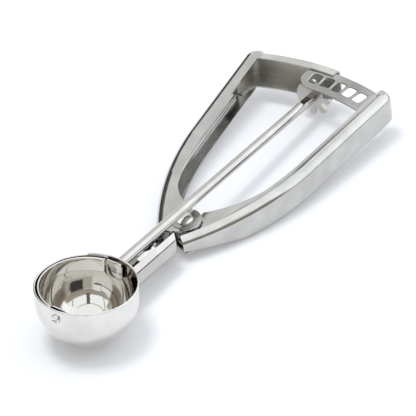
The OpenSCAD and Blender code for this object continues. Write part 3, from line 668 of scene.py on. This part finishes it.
# The lip's edge is a straight line, set in from the handle's tail. It ends both of the
# rack's sides, the outer one and the inner one.
tail_x, tail_y, tail_angle, lip_w = 62.2, 37.2, math.radians(5.9), 9.2
lip_edge = tail_y * math.cos(tail_angle) - tail_x * math.sin(tail_angle) - lip_w - seat_gap
outer_r, inner_r = rack_r + rack_half, rack_r - rack_half
outer_end, inner_end = (-math.degrees(tail_angle + math.asin(lip_edge / r)) for r in (outer_r, inner_r))
outline = (arc(0, 0, outer_r, 0, outer_end, 24) + arc(0, 0, inner_r, inner_end, 0, 24)
           + arc(rack_r, 0, rack_half, 180, 0, 48)[1:-1])
count = len(outline)
strip = bpy.data.meshes.new("rack_outline")
strip.from_pydata([(x, y, 0) for x, y in outline], [(i, (i + 1) % count) for i in range(count)], [])
rack = grown("slotted_rack", slotted_plate,
             {"Windows": teeth, "Step": -tooth_step * pitch_r / mesh_r, "Middle radius": rack_r,
              "Window length": 7.3, "Window width": 5.7, "Window corner": 1.6, "Thickness": rack_t},
             grip_line @ Matrix.Translation((0, 0, lip_under - rack_t)), satin_steel, strip)
soften(rack, 0.38)
fit(rack, satin_steel, "squeeze_handle", "brushed_steel", "rack")


# ---------------------------------------------------------------------------------------------
# The pinion is stamped from thicker sheet: five long round-nosed teeth, a plain sector
# opposite them, and a flatted hole that is staked on the rod.
def toothed_plate(board, _, count, step, tip, width, root, plain, low, high, bore, flat, thickness):
    """The outline is the greatest of three radii: a tooth's, the root's and the plain sector's."""
    points, lead_in, quarter = 720, math.radians(80), math.pi / 2
    index = board.add("GeometryNodeInputIndex")[0]
    angle = index * (2 * math.pi / points) - lead_in

    # The nearest tooth's middle, counted from the one a quarter turn on, and the angle from it
    nearest = ((angle - quarter) / step).join("ROUND").join("MAXIMUM", 0.0).join("MINIMUM", count - 1)
    away = (angle - nearest * step - quarter).join("ABSOLUTE").join("MINIMUM", quarter)

    # A tooth has straight sides and a round nose
    half = width * 0.5
    reach = tip - half
    side = half / away.join("SINE").join("MAXIMUM", 0.01)
    off = away.join("SINE") * reach
    nose = away.join("COSINE") * reach + (half * half - off * off).join("MAXIMUM", 0.0).join("SQRT")
    on_side = away.join("TANGENT").join("GREATER_THAN", half / reach)
    tooth = on_side * side + (1 - on_side) * nose
    sector = angle.join("GREATER_THAN", low) * angle.join("LESS_THAN", high) * plain
    radius = tooth.join("MAXIMUM", root).join("MAXIMUM", sector)
    rim = board.add("GeometryNodeCurvePrimitiveCircle", {"Resolution": points})[0]
    rim = board.add("GeometryNodeSetPosition",
                    {"Geometry": rim, "Position": around_origin(board, angle, radius)})[0]

    # The hole is a circle with its top and bottom cut flat
    x, y, _ = board.add("ShaderNodeSeparateXYZ", [board.add("GeometryNodeInputPosition")[0]])
    level = y.join("MINIMUM", flat).join("MAXIMUM", flat * -1.0)
    cut = board.add("ShaderNodeCombineXYZ", [x, level, 0.0])[0]
    hole = board.add("GeometryNodeCurvePrimitiveCircle", {"Resolution": 64, "Radius": bore})[0]
    hole = board.add("GeometryNodeSetPosition", {"Geometry": hole, "Position": cut})[0]
    return stamped(board, board.gather(rim, hole), thickness)


# The plate is stamped flat and then stood across the rod, its thickness along it
across_rod = Matrix(((0, 0, 1, pinion_x - pinion_t / 2), (1, 0, 0, 0), (0, 1, 0, 0), (0, 0, 0, 1)))
pinion = grown("toothed_plate", toothed_plate,
               {"Teeth": teeth, "Step": tooth_step, "Tip radius": pitch_r + 1.5, "Tooth width": 3.3,
                "Root radius": 5.6, "Plain radius": 9.6, "Plain from": math.radians(-60),
                "Plain to": math.radians(50), "Bore radius": rod_r + seat_gap,
                "Flat": flat_half + seat_gap, "Thickness": pinion_t},
               rod_line @ across_rod, raw_steel)
soften(pinion, 0.3)
fit(pinion, raw_steel, "scraper", "brushed_steel", "pinion")

# ---------------------------------------------------------------------------------------------
# The pivot: one shouldered stainless rivet holds both handles' ears, with turned washers
# outside them, a spacer and a shim between them, and a bush for the spring.
rivet = pressed("pivot_pin", "pivot_rivet", edge=0.1)
fit(rivet, mirror_steel, "frame", "polished_steel", "pivot_rivet")
for name in ("head_washer", "tail_washer", "upper_spacer", "lower_shim", "spring_bush"):
    ring = pressed(name + "_ring", name, edge=0.08)
    fit(ring, satin_steel, "frame", "brushed_steel", name)


# ---------------------------------------------------------------------------------------------
# The spring is wound from hard wire round the pivot's bush. Its coil and one arm stay with the
# fixed handle. The other arm turns with the moving one, and its short length of coil is a
# touch thinner, so that it slides inside the rest.
def wound_wire(board, _, steps, turn, start, coil, first_arm, last_arm, pitch, top, wire):
    """A coil that winds downwards, with a straight arm off each end."""
    index = board.add("GeometryNodeInputIndex")[0]
    along = (index - 1.0).join("MAXIMUM", 0.0).join("MINIMUM", steps)
    past_end = index - 1.0 - along
    reach = past_end.join("MINIMUM", 0.0) * first_arm + past_end.join("MAXIMUM", 0.0) * last_arm
    angle = along / steps * turn + start
    x = angle.join("COSINE") * coil - angle.join("SINE") * reach
    y = angle.join("SINE") * coil + angle.join("COSINE") * reach
    spot = board.add("ShaderNodeCombineXYZ", [x, y, top - (angle - start) * pitch])[0]
    path = board.add("GeometryNodeCurvePrimitiveLine")[0]
    path = board.add("GeometryNodeResampleCurve", {"Curve": path, "Count": steps + 3.0}, mode="COUNT")[0]
    path = board.add("GeometryNodeSetPosition", {"Geometry": path, "Position": spot})[0]
    section = board.add("GeometryNodeCurvePrimitiveCircle", {"Resolution": 12, "Radius": wire})[0]
    return board.add("GeometryNodeCurveToMesh",
                     {"Curve": path, "Profile Curve": section, "Fill Caps": True})[0]


spring_wire = steel("spring_wire", dark=(0.30, 0.30, 0.31), light=(0.42, 0.42, 0.43),
                    rough=0.2, haze=0.1, ripple=0.1)
wire_r, thinner, coil_r, coil_mid, arm_l, stub = 0.45, 0.06, 5.0, -8.4, 21.0, 0.02
coil_start, coil_turn, squeeze_room, overlap = (math.radians(a) for a in (140, 800, 11, 35))
wire_pitch = 2.2 * wire_r / (2 * math.pi)
coil_top = coil_mid + coil_turn * wire_pitch / 2
spring = grown("return_spring", wound_wire,
               {"Steps": 160, "Turn": coil_turn - squeeze_room, "Start": coil_start,
                "Coil radius": coil_r, "First arm": arm_l, "Last arm": stub, "Pitch": wire_pitch,
                "Top": coil_top, "Wire radius": wire_r},
               grip_line, spring_wire)
fit(spring, spring_wire, "frame", "spring_wire", "torsion_spring")
arm_start = coil_start + coil_turn - overlap
arm_top = coil_top - (arm_start - coil_start) * wire_pitch
spring_arm = grown("spring_arm", wound_wire,
                   {"Steps": 8, "Turn": overlap, "Start": arm_start, "Coil radius": coil_r,
                    "First arm": stub, "Last arm": arm_l, "Pitch": wire_pitch, "Top": arm_top,
                    "Wire radius": wire_r - thinner},
                   grip_line, spring_wire)
fit(spring_arm, spring_wire, "squeeze_handle", "spring_wire")
